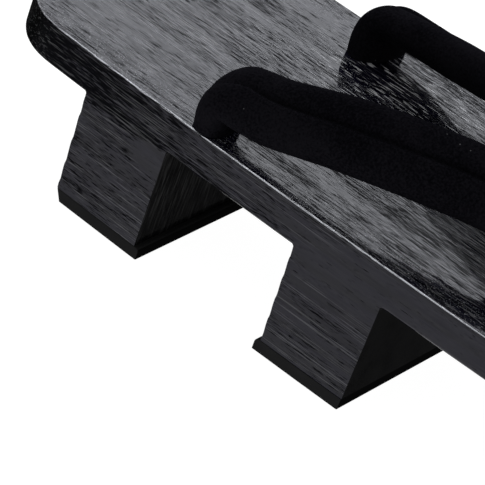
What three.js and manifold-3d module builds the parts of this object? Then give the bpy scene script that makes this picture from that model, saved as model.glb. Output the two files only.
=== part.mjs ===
// Geta: a sandal carved from one block of wood, with a padded strap and rubber under its two teeth.
// Millimetres. +X is the wearer's right, +Y points to the toes, +Z is up.
// The origin is on the floor, under the middle of the deck.

import * as THREE from 'three';
import { mergeVertices } from 'three/addons/utils/BufferGeometryUtils.js';
import Module from 'manifold-3d';

const wasm = await Module();
wasm.setup();

// Driving dimensions of the whole sandal
const LENGTH = 261;
const WIDTH = 110;
const HEIGHT = 56.1;
const DECK_THICKNESS = 14.1;
const PAD_THICKNESS = 4.3;

// Where the teeth stand, measured from the heel end of the deck
const HEEL_OVERHANG = 46.5;
const TOOTH_LENGTH = 35.7;
const TOOTH_GAP = 54.9;
const ROOT_FILLET = 1;

// How far each foot of a tooth leans in from its root
const REAR_TOOTH_LEAN = { rear: 0.6, front: -0.1 };
const FRONT_TOOTH_LEAN = { rear: 0.4, front: -1.2 };

// Outline of the deck: gently bowed sides between two rounded ends
const WIDEST_Y = 4;
const SIDE_BOW = 1.96e-4;
const HEEL_END = { depth: 30.5, squareness: 2.5 };
const TOE_END = { depth: 34, squareness: 2.4 };
const END_STEPS = 12;
const SIDE_STEPS = 8;

// Rounded edges of the deck
const TOP_EDGE_RADIUS = 0.8;
const UNDER_EDGE_RADIUS = 1.6;
const EDGE_STEPS = 3;
const CURVE_STEPS = 5;

// Room left over where one solid cuts or joins another, and the distance within which points are one point
const SPARE = 1;
const WELD = 1e-4;

// Rubber pads, cut by hand: how far they stand out past the feet of the teeth, towards the arch
const PAD_PROUD_AT_ARCH = { rear: 2.2, front: 1.9 };
const PAD_UNDERCUT = { rear: 2.3, front: 0.3 };
const PAD_EDGE_RADIUS = 1.6;
const PAD_PROUD_AT_SIDES = 0.25;

// Holes for the strap and the thong
const HOLE_DIAMETER = 10;
const STEM_DIAMETER = 9;
const REAR_HOLE = { x: 41.5, y: -39.2 };
const FRONT_HOLE_Y = 66;
const CLEARANCE = 0.3;

// Padded strap
const SECTION_POINTS = 28;
const SECTION_SQUARENESS = 2.3;
const STEPS_PER_ROW = 3;
const CREASE_SHIFT = 0.4;
const CREASE_HALF_WIDTH = 1.9;

// Loop of the thong round the strap's fold
const LOOP_WALL = 3;
const LOOP_HALF_WIDTH = 4.6;
const LOOP_REACH = { x: 7.5, y: 12, z: 10.5 };
const LOOP_FACETS = { around: 40, across: 24 };
const KNOT = { diameter: 13, height: 6.2 };

const deckTop = HEIGHT;
const deckUnder = HEIGHT - DECK_THICKNESS;
const deckMiddle = (deckTop + deckUnder) / 2;
const heelY = -LENGTH / 2;
const toeY = LENGTH / 2;
const rearTooth = { rear: heelY + HEEL_OVERHANG, front: heelY + HEEL_OVERHANG + TOOTH_LENGTH };
const frontTooth = { rear: rearTooth.front + TOOTH_GAP, front: rearTooth.front + TOOTH_GAP + TOOTH_LENGTH };

// Strap of one side, from its root on the deck to the fold between the toes.
// x, y and rise place the middle of a section, with rise measured up from the deck's top.
// heading turns inwards from straight ahead, pitch is 90 where the band stands up,
// and roll tips its outer face outwards, all in degrees.
const STRAP_ROWS = [
  { x: 42.7, y: -40.0, rise: 0.3, width: 24.6, thick: 13.0, heading: 0, pitch: 90, roll: 9, crease: 0.0 },
  { x: 42.8, y: -40.2, rise: 2.6, width: 24.8, thick: 13.2, heading: 0, pitch: 91, roll: 9, crease: 0.0 },
  { x: 42.9, y: -40.4, rise: 6.5, width: 24.8, thick: 13.2, heading: 0, pitch: 87, roll: 9, crease: 0.1 },
  { x: 43.1, y: -39.5, rise: 10.3, width: 24.8, thick: 12.8, heading: 0, pitch: 62, roll: 12, crease: 0.3 },
  { x: 42.9, y: -36.6, rise: 12.8, width: 24.8, thick: 12.5, heading: 0, pitch: 34, roll: 18, crease: 0.7 },
  { x: 42.6, y: -32.3, rise: 13.7, width: 24.8, thick: 12.7, heading: 3, pitch: 15, roll: 22, crease: 1.2 },
  { x: 41.6, y: -22.4, rise: 14.8, width: 24.8, thick: 13.2, heading: 9, pitch: 11, roll: 29, crease: 1.6 },
  { x: 39.0, y: -11.8, rise: 17.0, width: 24.8, thick: 13.3, heading: 13, pitch: 12, roll: 35, crease: 1.6 },
  { x: 36.4, y: -0.7, rise: 19.5, width: 25.2, thick: 13.3, heading: 13, pitch: 11, roll: 38, crease: 1.6 },
  { x: 33.7, y: 11.6, rise: 21.6, width: 25.6, thick: 12.9, heading: 16, pitch: 7, roll: 39, crease: 1.6 },
  { x: 29.1, y: 24.9, rise: 22.6, width: 25.8, thick: 12.9, heading: 20, pitch: 3, roll: 38, crease: 1.6 },
  { x: 23.3, y: 40.7, rise: 23.1, width: 26.0, thick: 13.1, heading: 21, pitch: -1, roll: 36, crease: 1.5 },
  { x: 15.9, y: 58.4, rise: 21.8, width: 24.2, thick: 11.6, heading: 43, pitch: -13, roll: 34, crease: 1.2 },
  { x: 0.0, y: 66.0, rise: 15.0, width: 15.0, thick: 10.0, heading: 62, pitch: -19, roll: 28, crease: 0.8 },
  { x: -9.0, y: 71.4, rise: 12.1, width: 12.0, thick: 9.0, heading: 62, pitch: -19, roll: 28, crease: 0.6 },
];

// Stem of a strap or thong and the knot that holds it under the deck: rise from the deck's top, and diameter
const KNOT_TOP = -DECK_THICKNESS - CLEARANCE;
const STEM_ROWS = [
  { rise: KNOT_TOP - KNOT.height, diameter: 0.45 * KNOT.diameter },
  { rise: KNOT_TOP - 0.88 * KNOT.height, diameter: 0.78 * KNOT.diameter },
  { rise: KNOT_TOP - 0.6 * KNOT.height, diameter: KNOT.diameter },
  { rise: KNOT_TOP - 0.3 * KNOT.height, diameter: 0.97 * KNOT.diameter },
  { rise: KNOT_TOP, diameter: 0.74 * KNOT.diameter },
  { rise: KNOT_TOP, diameter: STEM_DIAMETER },
  { rise: CLEARANCE, diameter: STEM_DIAMETER },
];

// A closed mesh, with its shared vertices merged, becomes a solid that can be joined and cut
function solidFrom(geometry) {
  const bare = geometry.clone();
  bare.deleteAttribute('normal');
  bare.deleteAttribute('uv');
  const merged = mergeVertices(bare, WELD);
  const vertProperties = new Float32Array(merged.attributes.position.array);
  const triVerts = new Uint32Array(merged.index.array);
  return new wasm.Manifold(new wasm.Mesh({ numProp: 3, vertProperties, triVerts }));
}

function geometryFrom(solid) {
  const mesh = solid.getMesh();
  const geometry = new THREE.BufferGeometry();
  geometry.setAttribute('position', new THREE.BufferAttribute(mesh.vertProperties, 3));
  geometry.setIndex(new THREE.BufferAttribute(mesh.triVerts, 1));
  geometry.computeVertexNormals();
  return geometry;
}

// Closed skin over a row of rings with equal numbers of points, with a fan of triangles at each end
function loft(rings) {
  const count = rings[0].length;
  const points = rings.flat();
  const index = [];
  for (let ring = 0; ring + 1 < rings.length; ring += 1) {
    for (let step = 0; step < count; step += 1) {
      const a = ring * count + step;
      const b = ring * count + ((step + 1) % count);
      index.push(a, b, b + count, a, b + count, a + count);
    }
  }
  const last = (rings.length - 1) * count;
  const middleOf = (ring) => ring.reduce((sum, p) => sum.add(p), new THREE.Vector3()).divideScalar(count);
  const firstMiddle = points.push(middleOf(rings[0])) - 1;
  const lastMiddle = points.push(middleOf(rings[rings.length - 1])) - 1;
  for (let step = 0; step < count; step += 1) {
    const next = (step + 1) % count;
    index.push(firstMiddle, next, step, lastMiddle, last + step, last + next);
  }
  const geometry = new THREE.BufferGeometry().setFromPoints(points);
  geometry.setIndex(index);
  return geometry;
}

// Side profile in Y and Z, carried across the sandal in X
function acrossWidth(profile, halfWidth) {
  const across = { depth: 2 * halfWidth, bevelEnabled: false, curveSegments: CURVE_STEPS };
  const geometry = new THREE.ExtrudeGeometry(profile, across);
  geometry.translate(0, 0, -halfWidth);
  const toSide = new THREE.Matrix4().makeBasis(
    new THREE.Vector3(0, 1, 0),
    new THREE.Vector3(0, 0, 1),
    new THREE.Vector3(1, 0, 0),
  );
  geometry.applyMatrix4(toSide);
  return solidFrom(geometry);
}

function sideX(y) {
  return WIDTH / 2 - SIDE_BOW * (y - WIDEST_Y) ** 2;
}

// Right half of an end of the outline, as a rounded quarter from the middle line to the side
function endQuarter(endY, inward, end) {
  const points = [];
  for (let step = 0; step <= END_STEPS; step += 1) {
    const turn = (step / END_STEPS) * (Math.PI / 2);
    const across = Math.sin(turn) ** (2 / end.squareness);
    const along = 1 - Math.cos(turn) ** (2 / end.squareness);
    const y = endY + inward * end.depth * along;
    points.push(new THREE.Vector2(sideX(y) * across, y));
  }
  return points;
}

// Whole outline of the deck seen from above, anticlockwise, starting at the middle of the heel
function deckOutline() {
  const heel = endQuarter(heelY, 1, HEEL_END);
  const toe = endQuarter(toeY, -1, TOE_END).reverse();
  const firstY = heel[heel.length - 1].y;
  const lastY = toe[0].y;
  const side = [];
  for (let step = 1; step < SIDE_STEPS; step += 1) {
    const y = THREE.MathUtils.lerp(firstY, lastY, step / SIDE_STEPS);
    side.push(new THREE.Vector2(sideX(y), y));
  }
  const right = [...heel, ...side, ...toe];
  const left = right.slice(1, -1).reverse().map((p) => new THREE.Vector2(-p.x, p.y));
  return [...right, ...left];
}

const OUTLINE = deckOutline();

// The outline at one height, drawn in or out along its own normals
function outlineRing(z, inset) {
  const count = OUTLINE.length;
  return OUTLINE.map((point, i) => {
    const before = OUTLINE[(i + count - 1) % count];
    const after = OUTLINE[(i + 1) % count];
    const along = after.clone().sub(before).normalize();
    return new THREE.Vector3(point.x - inset * along.y, point.y + inset * along.x, z);
  });
}

function outlineBlock(bottom, top, proud) {
  return solidFrom(loft([outlineRing(bottom, -proud), outlineRing(top, -proud)]));
}

function deckPlate() {
  const rings = [];
  for (let step = 0; step <= EDGE_STEPS; step += 1) {
    const turn = (step / EDGE_STEPS) * (Math.PI / 2);
    const inset = UNDER_EDGE_RADIUS * (1 - Math.sin(turn));
    rings.push(outlineRing(deckUnder + UNDER_EDGE_RADIUS * (1 - Math.cos(turn)), inset));
  }
  for (let step = 0; step <= EDGE_STEPS; step += 1) {
    const turn = (step / EDGE_STEPS) * (Math.PI / 2);
    const inset = TOP_EDGE_RADIUS * (1 - Math.cos(turn));
    rings.push(outlineRing(deckTop - TOP_EDGE_RADIUS * (1 - Math.sin(turn)), inset));
  }
  return solidFrom(loft(rings));
}

// Tooth with a small hollow curve where it grows out of the deck, reaching up to the deck's middle
function toothProfile(tooth, lean) {
  const profile = new THREE.Shape();
  profile.moveTo(tooth.rear + lean.rear, PAD_THICKNESS);
  profile.lineTo(tooth.front + lean.front, PAD_THICKNESS);
  profile.lineTo(tooth.front, deckUnder - ROOT_FILLET);
  profile.quadraticCurveTo(tooth.front, deckUnder, tooth.front + ROOT_FILLET, deckUnder);
  profile.lineTo(tooth.front + ROOT_FILLET, deckMiddle);
  profile.lineTo(tooth.rear - ROOT_FILLET, deckMiddle);
  profile.lineTo(tooth.rear - ROOT_FILLET, deckUnder);
  profile.quadraticCurveTo(tooth.rear, deckUnder, tooth.rear, deckUnder - ROOT_FILLET);
  profile.closePath();
  return profile;
}

function carvedBase() {
  const teethSpace = outlineBlock(PAD_THICKNESS - SPARE, deckMiddle + SPARE, 0);
  const rear = acrossWidth(toothProfile(rearTooth, REAR_TOOTH_LEAN), WIDTH);
  const front = acrossWidth(toothProfile(frontTooth, FRONT_TOOTH_LEAN), WIDTH);
  let base = deckPlate().add(rear.add(front).intersect(teethSpace));
  const holes = [
    { x: REAR_HOLE.x, y: REAR_HOLE.y },
    { x: -REAR_HOLE.x, y: REAR_HOLE.y },
    { x: 0, y: FRONT_HOLE_Y },
  ];
  for (const hole of holes) {
    const radius = HOLE_DIAMETER / 2;
    const bore = new THREE.CylinderGeometry(radius, radius, DECK_THICKNESS + 2 * SPARE, SECTION_POINTS);
    bore.rotateX(Math.PI / 2);
    bore.translate(hole.x, hole.y, deckMiddle);
    base = base.subtract(solidFrom(bore));
  }
  return base;
}

// Rubber sheet under a tooth. The arch side stands out past the tooth with a rounded upper edge,
// and the other end is cut on a slant. archSide is 1 where the arch lies ahead of the tooth.
function rubberPad(archFoot, farFoot, archSide, proud, undercut) {
  const archEnd = archFoot + archSide * proud;
  const profile = new THREE.Shape();
  profile.moveTo(farFoot + archSide * undercut, 0);
  profile.lineTo(archEnd, 0);
  profile.lineTo(archEnd, PAD_THICKNESS - PAD_EDGE_RADIUS);
  profile.quadraticCurveTo(archEnd, PAD_THICKNESS, archEnd - archSide * PAD_EDGE_RADIUS, PAD_THICKNESS);
  profile.lineTo(farFoot, PAD_THICKNESS);
  profile.closePath();
  const outline = outlineBlock(-SPARE, PAD_THICKNESS + SPARE, PAD_PROUD_AT_SIDES);
  return acrossWidth(profile, WIDTH).intersect(outline);
}

// Directions of one strap section: out of the band's outer face, and across its width towards the foot
function sectionFrame(row) {
  const heading = THREE.MathUtils.degToRad(row.heading);
  const pitch = THREE.MathUtils.degToRad(row.pitch);
  const roll = THREE.MathUtils.degToRad(row.roll);
  const flat = Math.cos(pitch);
  const up = Math.sin(pitch);
  const along = new THREE.Vector3(-Math.sin(heading) * flat, Math.cos(heading) * flat, up);
  const unrolled = new THREE.Vector3(Math.sin(heading) * up, -Math.cos(heading) * up, flat);
  const outward = along.clone().cross(unrolled);
  const face = unrolled.clone().multiplyScalar(Math.cos(roll)).addScaledVector(outward, Math.sin(roll));
  const across = face.clone().cross(along);
  return { face, across };
}

// One section of the band: a full oval with a lengthwise crease in its outer face, grown evenly by grow
function sectionRing(row, grow) {
  const { face, across } = sectionFrame(row);
  const middle = new THREE.Vector3(row.x, row.y, deckTop + row.rise);
  const ring = [];
  for (let step = 0; step < SECTION_POINTS; step += 1) {
    const turn = (step / SECTION_POINTS) * 2 * Math.PI;
    const rounded = (value) => Math.sign(value) * Math.abs(value) ** (2 / SECTION_SQUARENESS);
    const wide = (row.width / 2 + grow) * rounded(Math.cos(turn));
    const deep = (row.thick / 2 + grow) * rounded(Math.sin(turn));
    const dent = deep > 0 ? row.crease * Math.exp(-(((wide - CREASE_SHIFT) / CREASE_HALF_WIDTH) ** 2)) : 0;
    ring.push(middle.clone().addScaledVector(across, wide).addScaledVector(face, deep - dent));
  }
  return ring;
}

// A value between rows b and c, on the smooth curve that also passes through a and d
function smooth(a, b, c, d, t) {
  return b + 0.5 * t * (c - a + t * (2 * a - 5 * b + 4 * c - d + t * (3 * (b - c) + d - a)));
}

function strapRowsInSteps() {
  const rows = [STRAP_ROWS[0]];
  for (let i = 0; i + 1 < STRAP_ROWS.length; i += 1) {
    const a = STRAP_ROWS[Math.max(i - 1, 0)];
    const b = STRAP_ROWS[i];
    const c = STRAP_ROWS[i + 1];
    const d = STRAP_ROWS[Math.min(i + 2, STRAP_ROWS.length - 1)];
    for (let step = 1; step <= STEPS_PER_ROW; step += 1) {
      const t = step / STEPS_PER_ROW;
      const between = (name) => smooth(a[name], b[name], c[name], d[name], t);
      rows.push(Object.fromEntries(Object.keys(b).map((name) => [name, between(name)])));
    }
  }
  return rows;
}

// Band of the right side alone, from its knot under the deck and on past the middle line
function rightBand(grow) {
  const root = STRAP_ROWS[0];
  const stem = STEM_ROWS.map(({ rise, diameter }) => ({
    ...root,
    ...REAR_HOLE,
    rise,
    width: diameter,
    thick: diameter,
    crease: 0,
  }));
  const rows = [...stem, ...strapRowsInSteps()];
  return solidFrom(loft(rows.map((row) => sectionRing(row, grow))));
}

// Both sides of the strap, mitred together on the middle line where the band is folded
function foldedStrap(grow) {
  const room = new THREE.BoxGeometry(WIDTH, LENGTH, 4 * HEIGHT);
  room.translate(WIDTH / 2, 0, HEIGHT);
  const right = rightBand(grow).intersect(solidFrom(room));
  return right.add(right.mirror([1, 0, 0]));
}

// Loop of even thickness round the fold, with a rounded nose and a stem that goes down through the front
// hole to its knot
function toeThong() {
  const fold = STRAP_ROWS.find((row) => row.x === 0);
  const bead = new THREE.SphereGeometry(1, LOOP_FACETS.around, LOOP_FACETS.across);
  bead.rotateZ(Math.PI / 2);
  bead.scale(LOOP_REACH.x, LOOP_REACH.y, LOOP_REACH.z);
  bead.translate(0, fold.y, deckTop + fold.rise);
  const slab = new THREE.BoxGeometry(2 * LOOP_HALF_WIDTH, LENGTH, 2 * HEIGHT);
  slab.translate(0, fold.y, deckTop + fold.rise);
  const band = solidFrom(bead).intersect(solidFrom(slab));
  const loop = foldedStrap(CLEARANCE + LOOP_WALL).intersect(band);
  const stemTop = fold.rise - fold.thick / 2;
  const profile = STEM_ROWS.map(({ rise, diameter }) => new THREE.Vector2(diameter / 2, deckTop + rise));
  profile[profile.length - 1].y = deckTop + stemTop;
  profile.unshift(new THREE.Vector2(0, profile[0].y));
  profile.push(new THREE.Vector2(0, deckTop + stemTop));
  const stem = new THREE.LatheGeometry(profile, SECTION_POINTS);
  stem.rotateX(Math.PI / 2);
  stem.translate(0, FRONT_HOLE_Y, 0);
  return loop.add(solidFrom(stem)).subtract(foldedStrap(CLEARANCE));
}

function piece(name, solid, look) {
  const mesh = new THREE.Mesh(geometryFrom(solid), new THREE.MeshStandardMaterial(look));
  mesh.name = name;
  return mesh;
}

const blackWood = { color: 0x232326, roughness: 0.35, metalness: 0 };
const rubber = { color: 0x2b2b2b, roughness: 0.85, metalness: 0 };
const velvet = { color: 0x0c0c0d, roughness: 0.95, metalness: 0 };

const rearPad = rubberPad(
  rearTooth.front + REAR_TOOTH_LEAN.front,
  rearTooth.rear + REAR_TOOTH_LEAN.rear,
  1,
  PAD_PROUD_AT_ARCH.rear,
  PAD_UNDERCUT.rear,
);
const frontPad = rubberPad(
  frontTooth.rear + FRONT_TOOTH_LEAN.rear,
  frontTooth.front + FRONT_TOOTH_LEAN.front,
  -1,
  PAD_PROUD_AT_ARCH.front,
  PAD_UNDERCUT.front,
);

const geta = new THREE.Group();
geta.add(piece('carved_base', carvedBase(), blackWood));
geta.add(piece('rear_pad', rearPad, rubber));
geta.add(piece('front_pad', frontPad, rubber));
geta.add(piece('strap', foldedStrap(0), velvet));
geta.add(piece('toe_thong', toeThong(), velvet));

export default geta;
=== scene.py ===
# %% [markdown]
# # A black geta
# This lesson dresses the solids of a wooden sandal: a carved deck with two teeth, rubber pads under the
# teeth, a padded velvet strap and the thong that holds it between the toes. The solids come packed in one
# frame, in metres, with the toes towards +Y and the floor at z = 0. Every piece below is made in that
# frame, so nothing has to be fitted afterwards.

# %% Load the frame
import math

import bmesh
import bpy
import numpy as np
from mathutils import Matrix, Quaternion, Vector


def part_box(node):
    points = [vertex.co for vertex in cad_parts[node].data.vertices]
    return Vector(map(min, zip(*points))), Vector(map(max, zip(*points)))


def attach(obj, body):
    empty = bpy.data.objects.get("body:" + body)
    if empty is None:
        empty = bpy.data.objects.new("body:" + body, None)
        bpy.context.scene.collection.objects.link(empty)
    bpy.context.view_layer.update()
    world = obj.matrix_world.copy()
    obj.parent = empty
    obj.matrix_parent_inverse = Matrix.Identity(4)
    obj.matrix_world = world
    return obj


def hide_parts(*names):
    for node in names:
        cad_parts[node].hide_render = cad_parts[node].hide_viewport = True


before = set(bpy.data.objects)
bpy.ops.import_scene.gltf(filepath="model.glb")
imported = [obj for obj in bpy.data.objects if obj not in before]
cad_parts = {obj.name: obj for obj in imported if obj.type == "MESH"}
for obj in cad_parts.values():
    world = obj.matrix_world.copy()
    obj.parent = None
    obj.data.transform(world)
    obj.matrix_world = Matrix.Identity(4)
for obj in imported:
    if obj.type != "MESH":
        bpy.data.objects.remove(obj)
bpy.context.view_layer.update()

MM = 0.001
scene = bpy.context.scene


def mm(*values):
    """Lengths in millimetres, as metres."""
    return tuple(value * MM for value in values)


print("solids:", ", ".join(sorted(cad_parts)))

# %% [markdown]
# ## Camera
# The picture is a close view down onto the sandal's right side, taken with a long lens, so parallel edges
# stay almost parallel. The camera could be placed by eye. Here it is given as a photographer would say it:
# what it aims at, from which side and how high, how far away, and how much it is rolled.

# %% Camera
AIM = Vector((87.75, 6.6, 56.1)) * MM
AIM_DISTANCE = 1343.26 * MM
SIDE_ANGLE = math.radians(61.81)
HEIGHT_ANGLE = math.radians(33.34)
ROLL_ANGLE = math.radians(19.63)
LENS = 324.94
SENSOR_WIDTH = 36
NEAREST = 0.05
FARTHEST = 50


def make_camera():
    level = math.cos(HEIGHT_ANGLE)
    away = Vector((math.sin(SIDE_ANGLE) * level, math.cos(SIDE_ANGLE) * level, math.sin(HEIGHT_ANGLE)))
    data = bpy.data.cameras.new("camera")
    data.sensor_width = SENSOR_WIDTH
    data.lens = LENS
    data.clip_start = NEAREST
    data.clip_end = FARTHEST
    camera = bpy.data.objects.new("camera", data)
    scene.collection.objects.link(camera)
    camera.location = AIM + away * AIM_DISTANCE
    camera.rotation_mode = "QUATERNION"
    camera.rotation_quaternion = (-away).to_track_quat("-Z", "Y") @ Quaternion((0, 0, 1), ROLL_ANGLE)
    scene.camera = camera
    return camera


camera = make_camera()
print("camera in mm:", [round(value / MM) for value in camera.location])

# %% [markdown]
# ## Small helpers for nodes
# Shader trees and Geometry Nodes trees share their arithmetic nodes. These helpers add a node and fill its
# inputs, with either a plain value or a link from another node, so that a finish further on reads much like
# a formula.

# %% Helpers for nodes
def feed(tree, socket, value):
    if isinstance(value, bpy.types.NodeSocket):
        tree.links.new(value, socket)
    else:
        socket.default_value = value


def add_node(tree, kind, settings=None, **values):
    node = tree.nodes.new(kind)
    for name, value in (settings or {}).items():
        setattr(node, name, value)
    for name, value in values.items():
        feed(tree, node.inputs[name.replace("_", " ")], value)
    return node


def calculate(tree, operation, *values):
    node = add_node(tree, "ShaderNodeMath", {"operation": operation})
    for socket, value in zip(node.inputs, values):
        feed(tree, socket, value)
    return node.outputs[0]


def times(tree, first, *others):
    for other in others:
        first = calculate(tree, "MULTIPLY", first, other)
    return first


def combine(tree, operation, *values):
    node = add_node(tree, "ShaderNodeVectorMath", {"operation": operation})
    for socket, value in zip(node.inputs, values):
        feed(tree, socket, value)
    return node.outputs["Vector"]


def length_of(tree, vector):
    node = add_node(tree, "ShaderNodeVectorMath", {"operation": "LENGTH"})
    tree.links.new(vector, node.inputs[0])
    return node.outputs["Value"]


def axes_of(tree, vector):
    return add_node(tree, "ShaderNodeSeparateXYZ", Vector=vector).outputs


# %% Helpers for ramps, noise and groups
def ramp(tree, value, start, end, low=0.0, high=1.0):
    """Goes smoothly from low, where the value is at the start, to high at the end."""
    node = add_node(tree, "ShaderNodeMapRange", {"interpolation_type": "SMOOTHSTEP"})
    numbers = {"Value": value, "From Min": start, "From Max": end, "To Min": low, "To Max": high}
    for name, number in numbers.items():
        feed(tree, node.inputs[name], number)
    return node.outputs["Result"]


def noise(tree, position, waves, seed, detail=2.0, roughness=0.5):
    """Soft random values from 0 to 1, with so many waves per metre along x, y and z."""
    scaled = combine(tree, "MULTIPLY", position, waves)
    node = add_node(tree, "ShaderNodeTexNoise", {"noise_dimensions": "4D"}, Vector=scaled, W=seed, Scale=1.0)
    node.inputs["Detail"].default_value = detail
    node.inputs["Roughness"].default_value = roughness
    return node.outputs["Fac"]


def new_group(name, kind, inputs, outputs):
    tree = bpy.data.node_groups.new(name, kind)
    for label, socket_kind, value in inputs:
        socket = tree.interface.new_socket(label, in_out="INPUT", socket_type=socket_kind)
        if value is not None:
            socket.default_value = value
    for label, socket_kind in outputs:
        tree.interface.new_socket(label, in_out="OUTPUT", socket_type=socket_kind)
    return tree, tree.nodes.new("NodeGroupInput").outputs, tree.nodes.new("NodeGroupOutput").inputs


# %% [markdown]
# ## Wood grain as a solid pattern
# The block of wood has growth rings round the middle of the tree, which lies below the sandal, and fine
# open pores along its length. Brushing wore away the soft wood, so the rings stand up as ridges. A picture
# wrapped round the block would not meet at its corners, so the grain is worked out in the block's own
# coordinates: the top and the sides then show lines, and the ends of the fibres show dots and rings, as on
# real wood. The ring pattern is one function for two kinds of tree: it raises the mesh here and shades it
# further on.

# %% Growth rings, shared by shape and shading
ACROSS_GRAIN = Vector((1, 0, 1))
RING_CENTRE = Vector((-60, 0, -30)) * MM
RING_PITCH = 3.6 * MM
RING_CREST = (0.72, 0.86)
WANDER = 10.0 * MM
WANDER_WAVES = Vector((22, 5, 22))
FINE_WANDER = 1.25 * MM
FINE_WANDER_WAVES = Vector((260, 20, 260))
GRAIN_SEED = 4.0


def ring_height(tree, position):
    """Ridges of the growth rings, from 0 in the soft wood to 1 on a ridge."""
    from_centre = combine(tree, "SUBTRACT", position, RING_CENTRE)
    radius = length_of(tree, combine(tree, "MULTIPLY", from_centre, ACROSS_GRAIN))
    wander = noise(tree, position, WANDER_WAVES, GRAIN_SEED, detail=1.0)
    fine_wander = noise(tree, position, FINE_WANDER_WAVES, GRAIN_SEED + 1, detail=1.0)
    drift = calculate(tree, "MULTIPLY_ADD", wander, WANDER, radius)
    drift = calculate(tree, "MULTIPLY_ADD", fine_wander, FINE_WANDER, drift)
    phase = calculate(tree, "FRACT", calculate(tree, "DIVIDE", drift, RING_PITCH))
    rise = ramp(tree, phase, 0.0, RING_CREST[0])
    fall = ramp(tree, phase, RING_CREST[1], 1.0, 1.0, 0.0)
    return times(tree, rise, fall)


# %% Relief of the wood
BRUSHED_DEPTH = 0.02 * MM
SAWN_DEPTH = 0.55 * MM
SWELL_MIDDLE = 0.6
BACK_FACES = (-0.95, -0.55)
FRONT_FACES = (0.5, 0.9)
BELOW_DECK = mm(-4, -1)
CLEAR_OF_PAD = mm(0.2, 1.5)


def make_relief_group():
    inputs = [
        ("Geometry", "NodeSocketGeometry", None),
        ("Brushed Depth", "NodeSocketFloat", BRUSHED_DEPTH),
        ("Sawn Depth", "NodeSocketFloat", SAWN_DEPTH),
        ("Foot Height", "NodeSocketFloat", 0.0),
        ("Deck Height", "NodeSocketFloat", 0.0),
        ("Material", "NodeSocketMaterial", None),
    ]
    outputs = [("Geometry", "NodeSocketGeometry")]
    tree, given, result = new_group("brushed_relief", "GeometryNodeTree", inputs, outputs)
    position = tree.nodes.new("GeometryNodeInputPosition").outputs[0]
    normal = tree.nodes.new("GeometryNodeInputNormal").outputs[0]
    height = axes_of(tree, position)["Z"]
    facing = axes_of(tree, normal)["Y"]
    above_deck = calculate(tree, "SUBTRACT", height, given["Deck Height"])
    above_foot = calculate(tree, "SUBTRACT", height, given["Foot Height"])
    sawn = times(
        tree,
        ramp(tree, facing, *BACK_FACES, 1.0, 0.0),
        ramp(tree, above_deck, *BELOW_DECK, 1.0, 0.0),
    )
    span = calculate(tree, "SUBTRACT", given["Sawn Depth"], given["Brushed Depth"])
    depth = calculate(tree, "MULTIPLY_ADD", sawn, span, given["Brushed Depth"])
    depth = times(tree, depth, ramp(tree, facing, *FRONT_FACES, 1.0, 0.0))
    clear = ramp(tree, above_foot, *CLEAR_OF_PAD)
    swell = calculate(tree, "SUBTRACT", ring_height(tree, position), SWELL_MIDDLE)
    scale = add_node(tree, "ShaderNodeVectorMath", {"operation": "SCALE"})
    tree.links.new(normal, scale.inputs[0])
    tree.links.new(times(tree, swell, depth, clear), scale.inputs["Scale"])
    moved = add_node(tree, "GeometryNodeSetPosition", Geometry=given["Geometry"], Offset=scale.outputs[0])
    real = add_node(tree, "GeometryNodeRealizeInstances", Geometry=moved.outputs[0])
    dressed = add_node(tree, "GeometryNodeSetMaterial", Geometry=real.outputs[0], Material=given["Material"])
    tree.links.new(dressed.outputs[0], result["Geometry"])
    return tree


relief_group = make_relief_group()
print("relief inputs:", [item.name for item in relief_group.interface.items_tree if item.in_out == "INPUT"])

# %% [markdown]
# ## Grain for shading
# What is finer than the mesh is shaded: fibres less than half a millimetre apart, the open pores between
# them, pale long streaks, partly bare wood that brushing leaves and partly painted highlight, and pale short
# dashes, which are painted glints of the lacquer catching the light. All of it runs along the grain, and
# patches of dense wood have little of it. It could all sit in the finish itself. As a node group it can be
# read on its own: it puts out a height for bump and a mask of each kind of mark, and the finish decides what
# a mask does to its gloss and colour.

# %% Dense wood
DENSE_WOOD = [((58, 62, 44), (9, 66, 17)), ((58, -50, 36), (9, 15, 8))]
DENSE_WOOD_RIM = (0.7, 1.05)


def from_middle(tree, position, middle, reach):
    """Distance from the middle of an egg-shaped patch, 1 at its reach."""
    offset = combine(tree, "SUBTRACT", position, Vector(mm(*middle)))
    return length_of(tree, combine(tree, "DIVIDE", offset, Vector(mm(*reach))))


def dense_wood(tree, position):
    """Patches of dense wood with few pores, 1 inside and 0 outside."""
    share = 0.0
    for middle, reach in DENSE_WOOD:
        patch = ramp(tree, from_middle(tree, position, middle, reach), *DENSE_WOOD_RIM, 1.0, 0.0)
        share = calculate(tree, "MAXIMUM", share, patch)
    return share


# %% Fibres, pores, painted glints and streaks
FIBRE_WAVES = Vector((2600, 70, 2600))
FIBRE_SHARE = 0.55
PORE_WAVES = Vector((4200, 260, 4200))
PORE_RIM = (-0.02, 0.025)
PORE_LEVEL = 0.62
CROWD_GAIN = -0.19
PATCH_WAVES = Vector((130, 14, 130))
PATCH_SWING = 1.2
STREAK_WAVES = Vector((2400, 24, 2400))
STREAK_RIM = (0.58, 0.7)
# Pale short dashes, painted glints of the lacquer catching the light.
GLINT_WAVES = Vector((1500, 150, 1500))
GLINT_RIM = (0.585, 0.64)
DENSE_RELIEF = 0.15


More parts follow.
